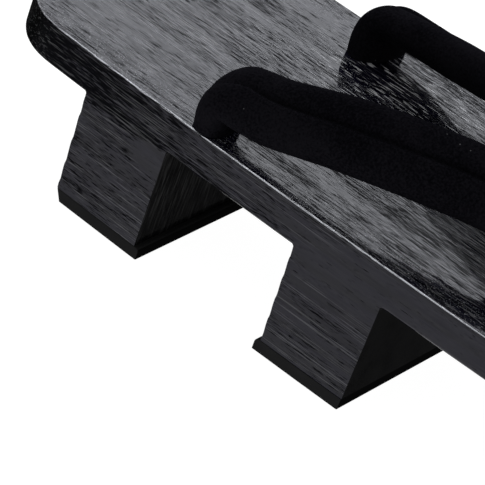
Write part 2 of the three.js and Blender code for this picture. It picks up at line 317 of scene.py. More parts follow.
def make_grain_group():
    inputs = [
        ("Vector", "NodeSocketVector", None),
        ("Pore Share", "NodeSocketFloat", 0.4),
        ("Ring Depth", "NodeSocketFloat", 0.2),
        ("Fibre Depth", "NodeSocketFloat", 0.06),
        ("Pore Depth", "NodeSocketFloat", 0.05),
    ]
    names = ("Height", "Pores", "Glints", "Streaks", "Fibres", "Rings")
    outputs = [(name, "NodeSocketFloat") for name in names]
    tree, given, result = new_group("wood_grain", "ShaderNodeTree", inputs, outputs)
    position = given["Vector"]
    rings = ring_height(tree, position)
    open_wood = calculate(tree, "SUBTRACT", 1.0, dense_wood(tree, position))
    fibres = noise(tree, position, FIBRE_WAVES, GRAIN_SEED + 2, detail=2.0, roughness=0.6)
    dots = noise(tree, position, PORE_WAVES, GRAIN_SEED + 3, detail=1.0)
    patches = noise(tree, position, PATCH_WAVES, GRAIN_SEED + 4, detail=1.0)
    lines = noise(tree, position, STREAK_WAVES, GRAIN_SEED + 5, detail=1.0)
    dashes = noise(tree, position, GLINT_WAVES, GRAIN_SEED + 6, detail=1.0)
    mixed = calculate(tree, "MULTIPLY_ADD", dots, 1 - FIBRE_SHARE, times(tree, fibres, FIBRE_SHARE))
    swing = calculate(tree, "MULTIPLY_ADD", patches, PATCH_SWING, -PATCH_SWING / 2)
    crowd = times(tree, calculate(tree, "ADD", swing, given["Pore Share"]), open_wood)
    level = calculate(tree, "MULTIPLY_ADD", crowd, CROWD_GAIN, PORE_LEVEL)
    pores = ramp(tree, calculate(tree, "SUBTRACT", mixed, level), *PORE_RIM)
    height = times(tree, rings, given["Ring Depth"])
    height = calculate(tree, "MULTIPLY_ADD", fibres, given["Fibre Depth"], height)
    height = calculate(tree, "SUBTRACT", height, times(tree, pores, given["Pore Depth"]))
    relief = calculate(tree, "MULTIPLY_ADD", open_wood, 1 - DENSE_RELIEF, DENSE_RELIEF)
    made = {
        "Height": times(tree, height, relief),
        "Pores": pores,
        # Painted glints: a mask of pale dashes where the lacquer would catch the light.
        "Glints": times(tree, ramp(tree, dashes, *GLINT_RIM), open_wood),
        # Pale streaks, partly bare wood and partly painted highlight.
        "Streaks": times(tree, ramp(tree, lines, *STREAK_RIM), open_wood),
        "Fibres": fibres,
        "Rings": rings,
    }
    for name, socket in made.items():
        tree.links.new(socket, result[name])
    return tree


grain_group = make_grain_group()
print("grain outputs:", [item.name for item in grain_group.interface.items_tree if item.in_out == "OUTPUT"])

# %% [markdown]
# ## Small helpers for finishes
# A finish is one shader, with some of its inputs held constant and the others fed by masks. These helpers
# start a finish, put a node group into it, turn a height into bump, lay one colour over another and tell
# which way the surface faces.

# %% Helpers for finishes
def new_material(name, **constants):
    material = bpy.data.materials.new(name)
    material.use_nodes = True
    shader = material.node_tree.nodes["Principled BSDF"]
    for label, value in constants.items():
        shader.inputs[label.replace("_", " ")].default_value = value
    place = material.node_tree.nodes.new("ShaderNodeTexCoord").outputs["Object"]
    return material, material.node_tree, shader, place


def add_group(tree, group, **values):
    node = tree.nodes.new("ShaderNodeGroup")
    node.node_tree = group
    for label, value in values.items():
        feed(tree, node.inputs[label.replace("_", " ")], value)
    return node.outputs


def add_bump(tree, shader, height, distance, strength=1.0):
    bump = add_node(tree, "ShaderNodeBump", Height=height, Distance=distance, Strength=strength)
    tree.links.new(bump.outputs[0], shader.inputs["Normal"])
    return bump.outputs[0]


def blend_colours(tree, share, first, second):
    node = add_node(tree, "ShaderNodeMix", {"data_type": "RGBA"})
    feed(tree, node.inputs["Factor"], share)
    feed(tree, node.inputs[6], first)
    feed(tree, node.inputs[7], second)
    return node.outputs[2]


def surface_facing(tree):
    return axes_of(tree, tree.nodes.new("ShaderNodeNewGeometry").outputs["Normal"])


# %% [markdown]
# ## Black lacquered wood
# The wood is scorched or stained black and finished with a thin lacquer. On the deck and the sides the
# lacquer stays on the surface and mirrors the room. The ends of the fibres drink it up, so the curved heel
# and the fronts of the teeth stay matt. A coat over a dull base shows both: its weight falls where the
# surface faces along the grain, and in the open pores. Marks are colours laid one over another by masks:
# saw marks on the front of the rear tooth; pale worn wood under the toes; pale specks along the deck's long
# edges, partly wear and partly painted glints; pale streaks, partly bare wood and partly painted highlight;
# and pale dashes beside the strap, which are painted glints of the lacquer catching the light.

# %% Where the wood is
END_FACES = (0.12, 0.5)
UP_FACES = (0.5, 0.9)
NOT_FRONT_FACES = (0.2, 0.5)


def wood_places(tree, place):
    """Masks of the way the surface faces, and where it lies in metres."""
    facing = surface_facing(tree)
    spot = axes_of(tree, place)
    return {
        "end_grain": ramp(tree, calculate(tree, "ABSOLUTE", facing["Y"]), *END_FACES),
        "upward": ramp(tree, facing["Z"], *UP_FACES),
        "forward": ramp(tree, facing["Y"], *FRONT_FACES),
        "not_forward": ramp(tree, facing["Y"], *NOT_FRONT_FACES, 1.0, 0.0),
        "aside": calculate(tree, "ABSOLUTE", spot["X"]),
        "along": spot["Y"],
        "height": spot["Z"],
    }


# %% Pores and saw marks
SIDE_SPAN = mm(-118, 10)
SIDE_PORES = (1.05, 0.42)
TOOTH_TOP = mm(36, 44)
TOOTH_PORES = 0.5
DECK_SPAN = mm(-70, 30)
DECK_PORES = (0.42, 0.62)
SAW_WAVES = Vector((900, 0, 80))
SAW_RIM = (0.42, 0.72)
SAW_FADES = mm(6, 32)
SAW_FAINT = 0.35
AHEAD_OF_REAR_TOOTH = mm(-30, 0)


def pore_share(tree, on):
    """The sides have more pores towards the heel and fewer on the teeth, the deck more towards the toes."""
    side = ramp(tree, on["along"], *SIDE_SPAN, *SIDE_PORES)
    side = times(tree, side, ramp(tree, on["height"], *TOOTH_TOP, TOOTH_PORES, 1.0))
    deck = ramp(tree, on["along"], *DECK_SPAN, *DECK_PORES)
    return calculate(tree, "MULTIPLY_ADD", on["upward"], calculate(tree, "SUBTRACT", deck, side), side)


def saw_marks(tree, place, on):
    """Upright marks on the front of the rear tooth, fainter towards the floor."""
    strokes = noise(tree, place, SAW_WAVES, GRAIN_SEED + 7, detail=3.0, roughness=0.6)
    marks = ramp(tree, strokes, *SAW_RIM)
    fading = ramp(tree, on["height"], *SAW_FADES, SAW_FAINT, 1.0)
    rear_tooth = ramp(tree, on["along"], *AHEAD_OF_REAR_TOOTH, 1.0, 0.0)
    return times(tree, marks, fading, on["forward"], rear_tooth)


# %% Pale wood and painted glints
# Painted glints: beside the strap the pale dashes are laid on in full, elsewhere thinly.
GLINT_ZONE_MIDDLE = (-27, -14, 56)
GLINT_ZONE_REACH = (34, 46, 60)
GLINT_ZONE_RIM = (0.4, 1.0)
GLINTS_ELSEWHERE = 0.12
TOES_FROM = mm(20, 38)
TOES_ASIDE = mm(22, 36)
HEEL_UP_TO = mm(-70, -30)
LONG_EDGES = mm(38, 47)
STREAKS_PLAIN = (0.12, 0.15)
STREAKS_RIM = (0.0, 0.4)
STREAKS_AT_TOES = 0.22
STREAKS_AT_HEEL = 0.16
STREAKS_AT_EDGES = 0.12
STREAKS_IN_PORES = 0.2
DUST_RIM = (0.42, 0.56)
DUST = 0.42
SPECK_WAVES = Vector((2600, 1300, 2600))
SPECK_RIM = (0.62, 0.69)
SPECKS = 0.42


def pale_wood_and_glints(tree, place, on, grain):
    """Where pale marks lie on the black, worn wood and painted glints: 1 where it is pale, 0 where it is
    black.
    """
    upward = on["upward"]
    distance = from_middle(tree, place, GLINT_ZONE_MIDDLE, GLINT_ZONE_REACH)
    glint_zone = times(tree, upward, ramp(tree, distance, *GLINT_ZONE_RIM, 1.0, GLINTS_ELSEWHERE))
    toes = times(tree, upward, ramp(tree, on["along"], *TOES_FROM))
    toes = times(tree, toes, ramp(tree, on["aside"], *TOES_ASIDE, 1.0, 0.0))
    heel = times(tree, upward, ramp(tree, on["along"], *HEEL_UP_TO, 1.0, 0.0))
    edges = times(tree, upward, ramp(tree, on["aside"], *LONG_EDGES))
    # Pale streaks, partly bare wood and partly painted highlight.
    streak_share = ramp(tree, glint_zone, *STREAKS_RIM, *STREAKS_PLAIN)
    streak_share = calculate(tree, "MULTIPLY_ADD", toes, STREAKS_AT_TOES, streak_share)
    streak_share = calculate(tree, "MULTIPLY_ADD", heel, STREAKS_AT_HEEL, streak_share)
    dust = times(tree, toes, ramp(tree, grain["Fibres"], *DUST_RIM, 0.0, DUST))
    pale_and_glint = calculate(tree, "MAXIMUM", times(tree, grain["Streaks"], streak_share), dust)
    pale_and_glint = times(tree, pale_and_glint, ramp(tree, edges, 0.0, 1.0, 1.0, STREAKS_AT_EDGES))
    deck_pores = times(tree, upward, grain["Pores"])
    pale_and_glint = times(tree, pale_and_glint, ramp(tree, deck_pores, 0.0, 1.0, 1.0, STREAKS_IN_PORES))
    # Pale specks along the long edges, partly wear and partly painted glints.
    specks = ramp(tree, noise(tree, place, SPECK_WAVES, GRAIN_SEED + 8, detail=1.0), *SPECK_RIM)
    specks = times(tree, specks, ramp(tree, edges, 0.0, 1.0, 0.0, SPECKS))
    pale_and_glint = calculate(tree, "MAXIMUM", pale_and_glint, specks)
    # Pale dashes, painted glints of the lacquer catching the light.
    pale_and_glint = calculate(tree, "MAXIMUM", pale_and_glint, times(tree, grain["Glints"], glint_zone))
    return times(tree, pale_and_glint, on["not_forward"])


# %% Black lacquered wood
PITCH = (0.0009, 0.0009, 0.0018, 1)
SOOT = (0.0026, 0.0023, 0.007, 1)
CHARCOAL = (0.005, 0.0046, 0.0115, 1)
END_GRAIN = (0.0018, 0.0018, 0.002, 1)
SAW_MARK = (0.032, 0.032, 0.0322, 1)
# Pale colour of worn wood, used also for painted glints.
PALE_WOOD_AND_GLINT = (0.45, 0.456, 0.468, 1)
ROUGHNESS = (0.5, 0.8)
LACQUER = 0.7
LACQUER_ON_ENDS = 0.03
LACQUER_LOST_IN_PORES = 0.92
FIBRE_RANGE = (0.3, 0.7)
FIBRE_SHINE = (0.82, 1.18)
SIDE_AND_DECK_RINGS = (0.2, 0.02)
SIDE_AND_DECK_FIBRES = (0.06, 0.03)
PORE_DEPTH = 0.05
BUMP_DISTANCE = 0.22 * MM


def make_lacquered_wood():
    material, tree, shader, place = new_material(
        "lacquered_wood",
        Specular_IOR_Level=0.0,
        Coat_Roughness=0.05,
        Coat_IOR=1.42,
    )
    on = wood_places(tree, place)
    smooth = calculate(tree, "MAXIMUM", on["end_grain"], on["upward"])
    grain = add_group(
        tree,
        grain_group,
        Vector=place,
        Pore_Share=pore_share(tree, on),
        Ring_Depth=ramp(tree, smooth, 0.0, 1.0, *SIDE_AND_DECK_RINGS),
        Fibre_Depth=ramp(tree, on["upward"], 0.0, 1.0, *SIDE_AND_DECK_FIBRES),
        Pore_Depth=PORE_DEPTH,
    )
    colour = blend_colours(tree, grain["Rings"], SOOT, CHARCOAL)
    colour = blend_colours(tree, grain["Pores"], colour, PITCH)
    colour = blend_colours(tree, on["end_grain"], colour, END_GRAIN)
    colour = blend_colours(tree, saw_marks(tree, place, on), colour, SAW_MARK)
    # Pale worn wood and painted glints laid over the black.
    colour = blend_colours(tree, pale_wood_and_glints(tree, place, on, grain), colour, PALE_WOOD_AND_GLINT)
    tree.links.new(colour, shader.inputs["Base Color"])
    tree.links.new(ramp(tree, on["end_grain"], 0.0, 1.0, *ROUGHNESS), shader.inputs["Roughness"])
    sealed = ramp(tree, on["end_grain"], 0.0, 1.0, LACQUER, LACQUER_ON_ENDS)
    filled = calculate(tree, "SUBTRACT", 1.0, times(tree, grain["Pores"], LACQUER_LOST_IN_PORES))
    shine = ramp(tree, grain["Fibres"], *FIBRE_RANGE, *FIBRE_SHINE)
    tree.links.new(times(tree, sealed, filled, shine), shader.inputs["Coat Weight"])
    bump = add_bump(tree, shader, grain["Height"], BUMP_DISTANCE)
    tree.links.new(bump, shader.inputs["Coat Normal"])
    return material


lacquered_wood = make_lacquered_wood()
print("finish:", lacquered_wood.name, "with", len(lacquered_wood.node_tree.nodes), "nodes")

# %% [markdown]
# ## Rubber and velvet
# The pads are cut from sheet rubber, matt with a fine grit. Their ends that face forward and back are
# painted darker, as painted shade for the shadowed floor they would mirror. The strap is black velvet: it
# swallows light seen straight on, and its standing nap catches a little at the edges, which is what the
# sheen of the shader does. Where the nap has been stroked another way, it looks a touch lighter, and here
# and there a bit of lint clings to it.

# %% Rubber
RUBBER_DARK = (0.010, 0.010, 0.0104, 1)
RUBBER_DUSTY = (0.019, 0.019, 0.0194, 1)
# Painted shade: the ends facing forward and back are painted much darker.
RUBBER_PAINTED_SHADE = (0.003, 0.003, 0.0031, 1)
SHADED_END_FACES = (0.6, 0.9)
GRIT_WAVES = Vector((3200, 3200, 3200))
WEAR_WAVES = Vector((70, 70, 160))
WEAR_RANGE = (0.3, 0.7)
RUBBER_ROUGHNESS = (0.72, 0.92)
GRIT_DEPTH = 0.05 * MM
GRIT_STRENGTH = 0.6


def make_rubber():
    material, tree, shader, place = new_material("sheet_rubber", Specular_IOR_Level=0.0)
    # Painted shade on the ends that face forward and back.
    shaded_end = ramp(tree, calculate(tree, "ABSOLUTE", surface_facing(tree)["Y"]), *SHADED_END_FACES)
    grit = noise(tree, place, GRIT_WAVES, seed=1.0, detail=2.0)
    wear = noise(tree, place, WEAR_WAVES, seed=2.0, detail=3.0)
    colour = blend_colours(tree, wear, RUBBER_DARK, RUBBER_DUSTY)
    colour = blend_colours(tree, shaded_end, colour, RUBBER_PAINTED_SHADE)
    tree.links.new(colour, shader.inputs["Base Color"])
    tree.links.new(ramp(tree, wear, *WEAR_RANGE, *RUBBER_ROUGHNESS), shader.inputs["Roughness"])
    add_bump(tree, shader, grit, GRIT_DEPTH, GRIT_STRENGTH)
    return material


# %% Velvet
VELVET_DEEP = (0.0022, 0.0021, 0.0030, 1)
VELVET_STROKED = (0.0074, 0.007, 0.009, 1)
LINT = (0.09, 0.09, 0.092, 1)
LINT_RIM = (0.02, 0.045)
LINT_CELLS = 140.0
NAP_WAVES = Vector((2600, 2600, 2600))
STROKE_WAVES = Vector((55, 30, 55))
TUFT_WAVES = Vector((1300, 1300, 1300))
STROKED_RIM = (0.7, 1.3)
NAP_RANGE = (0.2, 0.8)
NAP_ROUGHNESS = (0.85, 1.0)
NAP_DEPTH = 0.12 * MM
NAP_STRENGTH = 0.5


def make_velvet():
    material, tree, shader, place = new_material(
        "black_velvet",
        Specular_IOR_Level=0.0,
        Sheen_Weight=0.006,
        Sheen_Roughness=0.35,
        Sheen_Tint=(0.85, 0.87, 1.0, 1),
    )
    nap = noise(tree, place, NAP_WAVES, seed=5.0, detail=1.0)
    strokes = noise(tree, place, STROKE_WAVES, seed=6.0, detail=3.0)
    tufts = noise(tree, place, TUFT_WAVES, seed=7.0, detail=1.0)
    stroked = ramp(tree, calculate(tree, "ADD", strokes, tufts), *STROKED_RIM)
    cells = add_node(tree, "ShaderNodeTexVoronoi", Vector=place, Scale=LINT_CELLS)
    lint = ramp(tree, cells.outputs["Distance"], *LINT_RIM, 1.0, 0.0)
    colour = blend_colours(tree, stroked, VELVET_DEEP, VELVET_STROKED)
    tree.links.new(blend_colours(tree, lint, colour, LINT), shader.inputs["Base Color"])
    tree.links.new(ramp(tree, nap, *NAP_RANGE, *NAP_ROUGHNESS), shader.inputs["Roughness"])
    add_bump(tree, shader, nap, NAP_DEPTH, NAP_STRENGTH)
    return material


sheet_rubber = make_rubber()
black_velvet = make_velvet()
print("finishes:", sheet_rubber.name, black_velvet.name)

# %% [markdown]
# ## From points to pieces
# Meshes are worked out as arrays of points in millimetres, which is quick and easy to read, and turned into
# objects in metres at the end. Edges between faces that meet at a sharp angle are marked, so that the rest
# can be shaded smooth.

# %% From points to pieces
SHARP_ANGLE = math.radians(38)
WELD = 0.002 * MM


def tidy_mesh(mesh):
    """Welds the mesh, turns its faces outwards and marks its sharp edges."""
    work = bmesh.new()
    work.from_mesh(mesh)
    bmesh.ops.remove_doubles(work, verts=work.verts, dist=WELD)
    bmesh.ops.dissolve_degenerate(work, edges=work.edges, dist=WELD)
    bmesh.ops.recalc_face_normals(work, faces=work.faces)
    for face in work.faces:
        face.smooth = True
    for edge in work.edges:
        edge.smooth = len(edge.link_faces) != 2 or edge.calc_face_angle() < SHARP_ANGLE
    work.to_mesh(mesh)
    work.free()
    return mesh


def new_piece(name, mesh, material):
    mesh.materials.clear()
    mesh.materials.append(material)
    piece = bpy.data.objects.new(name, mesh)
    scene.collection.objects.link(piece)
    return piece


def mesh_from(name, points_mm, faces):
    mesh = bpy.data.meshes.new(name)
    mesh.from_pydata((np.asarray(points_mm) * MM).tolist(), [], faces)
    mesh.update()
    return mesh


def loft_faces(rings, count):
    """Quads between rings of count points each, the rings being closed loops."""
    ring = np.arange(rings - 1)[:, None] * count
    step = np.arange(count)[None, :]
    after = (step + 1) % count
    corners = np.stack([ring + step, ring + after, ring + count + after, ring + count + step], axis=-1)
    return corners.reshape(-1, 4).tolist()


def settle(piece):
    """Turns the evaluated object into a plain mesh and removes its modifiers."""
    graph = bpy.context.evaluated_depsgraph_get()
    mesh = bpy.data.meshes.new_from_object(piece.evaluated_get(graph))
    piece.modifiers.clear()
    piece.data = mesh
    return piece


def hand_over(piece, slot, *nodes):
    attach(piece, "root")
    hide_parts(*nodes)
    print(piece.name, len(piece.data.polygons), "faces")


# %% [markdown]
# ## Carved base
# Deck and teeth are one block. The solid has the right shape, but its large faces have no points inside,
# and brushed relief needs them. The block could be remeshed with small cubes, which would blur its edges.
# Instead it is drawn again as a row of closed sections from heel to toe: across the top, down one side,
# back under the deck or the foot of a tooth, and up the other side. On a tooth's front and back the
# sections stay in one place and only their underside moves, and what falls together is welded.

# %% Sizes of the base
base_low, base_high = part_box("carved_base")
DECK_TOP = base_high.z / MM
PAD_TOP = base_low.z / MM
HEEL_Y = base_low.y / MM
TOE_Y = base_high.y / MM
HALF_WIDTH = base_high.x / MM
DECK_THICKNESS = 14.1
DECK_UNDER = DECK_TOP - DECK_THICKNESS
WIDEST_Y = 4
SIDE_BOW = 1.96e-4
HEEL_END = {"depth": 30.5, "squareness": 2.5}
TOE_END = {"depth": 34, "squareness": 2.4}
END_STEPS = 46
SIDE_STEP = 2.0
TOP_EDGE_RADIUS = 0.8
UNDER_EDGE_RADIUS = 1.6
EDGE_STEPS = 6
ROOT_FILLET = 1.0
FILLET_STEPS = (0.0, 0.35, 0.7)
FILLET_FOOT = DECK_UNDER - ROOT_FILLET
HEEL_OVERHANG = 46.5
TOOTH_PITCH = 90.6
TOOTH_LENGTH = 35.7
TEETH = [
    {"rear": HEEL_Y + HEEL_OVERHANG, "lean_rear": 0.6, "lean_front": -0.1},
    {"rear": HEEL_Y + HEEL_OVERHANG + TOOTH_PITCH, "lean_rear": 0.4, "lean_front": -1.2},
]
ROWS_ACROSS_TOP = 170
ROWS_ACROSS_UNDER = 80
ROW_PITCH = 0.9
HOLES = [(41.5, -39.2), (-41.5, -39.2), (0, 66)]
HOLE_RADIUS = 5
HOLE_SIDES = 40
DRILL_LENGTH = 4 * (DECK_TOP - DECK_UNDER)
ROUNDING_ERROR = 1e-9


def side_x(y):
    return HALF_WIDTH - SIDE_BOW * (y - WIDEST_Y) ** 2


print("deck", round(TOE_Y - HEEL_Y, 1), "mm long and", round(2 * HALF_WIDTH, 1), "mm wide")


# %% Stations of the base, from heel to toe
def new_station(x, y, out, lean=0.0, under=DECK_UNDER, rounding=UNDER_EDGE_RADIUS):
    """Half of one section: a point on its side, the way out, the lean, the underside and its rounding."""
    return {"x": x, "y": y, "out": out, "lean": lean, "under": under, "round": rounding}


def end_quarter(end_y, inward, end):
    turn = np.linspace(0, math.pi / 2, END_STEPS + 1)
    along = 1 - np.cos(turn) ** (2 / end["squareness"])
    y = end_y + inward * end["depth"] * along
    x = side_x(y) * np.sin(turn) ** (2 / end["squareness"])
    return np.column_stack([x, y])


def end_stations(end_y, inward, end):
    points = end_quarter(end_y, inward, end)
    slope = np.gradient(points, axis=0) * inward
    outward = np.column_stack([slope[:, 1], -slope[:, 0]])
    outward[0] = (0, -inward)
    outward /= np.linalg.norm(outward, axis=1)[:, None]
    rows = [new_station(x, y, out) for (x, y), out in zip(points, outward)]
    return rows if inward > 0 else rows[::-1]


def side_station(y, lean=0.0, under=DECK_UNDER, rounding=UNDER_EDGE_RADIUS):
    slope = 2 * SIDE_BOW * (y - WIDEST_Y)
    size = math.hypot(1, slope)
    return new_station(side_x(y), y, (1 / size, slope / size), lean, under, rounding)


def spaced(start, end, pitch):
    return np.linspace(start, end, max(2, round(abs(end - start) / pitch) + 1))


def fillet_stations(root_y, outward):
    """The small hollow curve between the underside of the deck and a tooth, from the deck to the tooth."""
    rows = []
    for t in FILLET_STEPS:
        y = root_y + outward * ROOT_FILLET * (1 - t) ** 2
        under = DECK_UNDER - ROOT_FILLET * t**2
        rows.append(side_station(y, 0.0, under, UNDER_EDGE_RADIUS * (1 - t)))
    return rows


LEVELS = np.concatenate(
    [
        spaced(DECK_TOP - TOP_EDGE_RADIUS, DECK_UNDER + UNDER_EDGE_RADIUS, ROW_PITCH),
        DECK_UNDER + UNDER_EDGE_RADIUS * (1 - np.sin(np.linspace(0, math.pi / 2, EDGE_STEPS + 1)[1:])),
        spaced(FILLET_FOOT, PAD_TOP, ROW_PITCH),
    ]
)
WALL_LEVELS = LEVELS[LEVELS <= FILLET_FOOT + ROUNDING_ERROR]


def tooth_stations(tooth):
    rear = tooth["rear"]
    front = rear + TOOTH_LENGTH
    rows = fillet_stations(rear, -1)
    rows += [side_station(rear, tooth["lean_rear"], level, 0.0) for level in WALL_LEVELS[:-1]]
    for y in spaced(rear, front, SIDE_STEP):
        share = (y - rear) / TOOTH_LENGTH
        lean = tooth["lean_rear"] + (tooth["lean_front"] - tooth["lean_rear"]) * share
        rows.append(side_station(y, lean, PAD_TOP, 0.0))
    rows += [side_station(front, tooth["lean_front"], level, 0.0) for level in WALL_LEVELS[-2::-1]]
    return rows + fillet_stations(front, 1)[::-1]


def base_stations():
    rows = end_stations(HEEL_Y, 1, HEEL_END)
    y = HEEL_Y + HEEL_END["depth"]
    for tooth in TEETH:
        rows += [side_station(value) for value in spaced(y, tooth["rear"] - ROOT_FILLET, SIDE_STEP)[1:-1]]
        rows += tooth_stations(tooth)
        y = tooth["rear"] + TOOTH_LENGTH + ROOT_FILLET
    last = TOE_Y - TOE_END["depth"]
    rows += [side_station(value) for value in spaced(y, last, SIDE_STEP)[1:-1]]
    return rows + end_stations(TOE_Y, -1, TOE_END)


stations = base_stations()
print(len(stations), "stations of", len(LEVELS), "levels")


# %% Skin of the base
def right_side(station):
    """Points down the right side of one station, from the top's rounded edge to the underside."""
    out = np.array(station["out"])
    turn = np.linspace(0, math.pi / 2, EDGE_STEPS + 1)[:-1]
    top_inset = TOP_EDGE_RADIUS * (1 - np.sin(turn))
    top_z = DECK_TOP - TOP_EDGE_RADIUS * (1 - np.cos(turn))
    z = np.maximum(LEVELS, station["under"])
    radius = station["round"]
    below = np.clip(station["under"] + radius - z, 0, radius)
    inset = radius - np.sqrt(radius**2 - below**2)
    foot_share = np.clip((FILLET_FOOT - z) / (FILLET_FOOT - PAD_TOP), 0, 1)
    y = station["y"] + station["lean"] * foot_share
    x = station["x"] + np.where(foot_share > 0, side_x(y) - side_x(station["y"]), 0)
    edge = np.column_stack([station["x"] - top_inset * out[0], station["y"] - top_inset * out[1], top_z])
    side = np.column_stack([x - inset * out[0], y - inset * out[1], z])
    return np.vstack([edge, side])


def base_ring(station):
    right = right_side(station)
    left = right[::-1] * (-1, 1, 1)
    share = np.linspace(0, 1, ROWS_ACROSS_TOP + 2)[1:-1, None]
    top = left[-1] + (right[0] - left[-1]) * share
    share = np.linspace(0, 1, ROWS_ACROSS_UNDER + 2)[1:-1, None]
    under = right[-1] + (left[0] - right[-1]) * share
    return np.vstack([top, right, under, left])


def make_base():
    rings = np.array([base_ring(station) for station in stations])
    count = rings.shape[1]
    mesh = mesh_from("carved_base_skin", rings.reshape(-1, 3), loft_faces(len(rings), count))
    piece = new_piece("carved_base_skin", tidy_mesh(mesh), lacquered_wood)
    for x, y in HOLES:
        bpy.ops.mesh.primitive_cylinder_add(
            vertices=HOLE_SIDES,
            radius=HOLE_RADIUS * MM,
            depth=DRILL_LENGTH * MM,
            location=(x * MM, y * MM, (DECK_TOP + DECK_UNDER) / 2 * MM),
        )
        drill = bpy.context.object
        cut = piece.modifiers.new("bore", "BOOLEAN")
        cut.operation = "DIFFERENCE"
        cut.solver = "EXACT"
        cut.object = drill
        settle(piece)
        bpy.data.objects.remove(drill)
    return piece


base = make_base()
print("base before brushing:", len(base.data.polygons), "faces")


# %% Brush the base
def add_tree(piece, tree, **values):
    modifier = piece.modifiers.new(tree.name, "NODES")
    modifier.node_group = tree
    for item in tree.interface.items_tree:
        if item.in_out == "INPUT" and item.name in values:
            modifier[item.identifier] = values[item.name]
    return settle(piece)


add_tree(
    base,
    relief_group,
    **{
        "Brushed Depth": BRUSHED_DEPTH,
        "Sawn Depth": SAWN_DEPTH,
        "Foot Height": PAD_TOP * MM,
        "Deck Height": DECK_UNDER * MM,
        "Material": lacquered_wood,
    },
)
hand_over(base, "black_wood", "carved_base")

# %% [markdown]
# ## Rubber pads
# Each pad is a sheet cut a little larger than the foot of its tooth. The solid already has that shape, so a
# copy of it is welded and its edges are bevelled, because a knife leaves them slightly soft.

# %% Rubber pads
PAD_BEVEL = 0.35
PAD_BEVEL_STEPS = 3


def copy_of_solid(node):
    return tidy_mesh(bpy.data.objects[node].data.copy())


def make_pad(node):
    piece = new_piece(node + "_sheet", copy_of_solid(node), sheet_rubber)
    bevel = piece.modifiers.new("knife edge", "BEVEL")
    bevel.width = PAD_BEVEL * MM
    bevel.segments = PAD_BEVEL_STEPS
    bevel.limit_method = "ANGLE"
    bevel.angle_limit = SHARP_ANGLE
    settle(piece)
    hand_over(piece, "rubber", node)


for node in ("rear_pad", "front_pad"):
    make_pad(node)

# %% [markdown]
# ## Padded strap
# The strap is a tube of velvet, stuffed and folded lengthwise, so that a deep crease runs along its outer
# face. A cushion is best blown up by cloth simulation, but a band this narrow keeps its form: it is drawn
# through the same sections as its solid, with many more points and a sharper crease that has a steep lip on
# one side and a gentle slope on the other. One side of the strap is made, cut on the middle line and
# mirrored, as the band is folded there.

# %% Sections of the strap
# Each row is x, y, rise, width, thick, heading, pitch, roll and crease, in millimetres and degrees.
STRAP_ROWS = [
    (42.7, -40.0, 0.3, 24.6, 13.0, 0, 90, 9, 0.0),
    (42.8, -40.2, 2.6, 24.8, 13.2, 0, 91, 9, 0.0),
    (42.9, -40.4, 6.5, 24.8, 13.2, 0, 87, 9, 0.1),
    (43.1, -39.5, 10.3, 24.8, 12.8, 0, 62, 12, 0.3),
    (42.9, -36.6, 12.8, 24.8, 12.5, 0, 34, 18, 0.7),
    (42.6, -32.3, 13.7, 24.8, 12.7, 3, 15, 22, 1.2),
    (41.6, -22.4, 14.8, 24.8, 13.2, 9, 11, 29, 1.6),
    (39.0, -11.8, 17.0, 24.8, 13.3, 13, 12, 35, 1.6),
    (36.4, -0.7, 19.5, 25.2, 13.3, 13, 11, 38, 1.6),
    (33.7, 11.6, 21.6, 25.6, 12.9, 16, 7, 39, 1.6),
    (29.1, 24.9, 22.6, 25.8, 12.9, 20, 3, 38, 1.6),
    (23.3, 40.7, 23.1, 26.0, 13.1, 21, -1, 36, 1.5),
    (15.9, 58.4, 21.8, 24.2, 11.6, 43, -13, 34, 1.2),
    (0.0, 66.0, 15.0, 15.0, 10.0, 62, -19, 28, 0.8),
    (-9.0, 71.4, 12.1, 12.0, 9.0, 62, -19, 28, 0.6),
]
STEPS_PER_ROW = 14
SECTION_POINTS = 144
SECTION_SQUARENESS = 2.3
CREASE_SHIFT = 0.4
CREASE_SWING = 4.5
CREASE_FULL = 1.2
CREASE_LIP = 0.7
CREASE_SLOPE = 2.2
CREASE_GAIN = 1.7
CREASE_ROUNDNESS = 1.3
STEM_DIAMETER = 9
STEM_RISES = (-7, 0.1)
KNOT = {"diameter": 13, "height": 6.2, "top": -14.4}
KNOT_PROFILE = [(1.0, 0.3), (0.97, 0.55), (0.88, 0.78), (0.6, 1.0), (0.3, 0.97), (0.06, 0.8), (0.0, 0.62)]


def strap_rows():
    """Rows between the given ones, on a smooth curve that runs through every one of them."""
    rows = np.array(STRAP_ROWS, dtype=float)
    padded = np.vstack([rows[:1], rows, rows[-1:]])
    made = [rows[0]]
    for a, b, c, d in zip(padded[:-3], padded[1:-2], padded[2:-1], padded[3:]):
        for t in np.linspace(0, 1, STEPS_PER_ROW + 1)[1:]:
            made.append(b + 0.5 * t * (c - a + t * (2 * a - 5 * b + 4 * c - d + t * (3 * (b - c) + d - a))))
    return np.array(made)


def stem_rows():
    """Rows of the knot under the deck and of the stem that comes up through the hole."""
    root = np.array(STRAP_ROWS[0], dtype=float)
    rows = []
    for depth, share in KNOT_PROFILE:
        rows.append((KNOT["top"] - depth * KNOT["height"], share * KNOT["diameter"]))
    rows += [(rise, STEM_DIAMETER) for rise in (KNOT["top"], *STEM_RISES)]
    made = []
    for rise, diameter in rows:
        row = root.copy()
        row[:5] = (*HOLES[0], rise, diameter, diameter)
        made.append(row)
    return np.array(made)


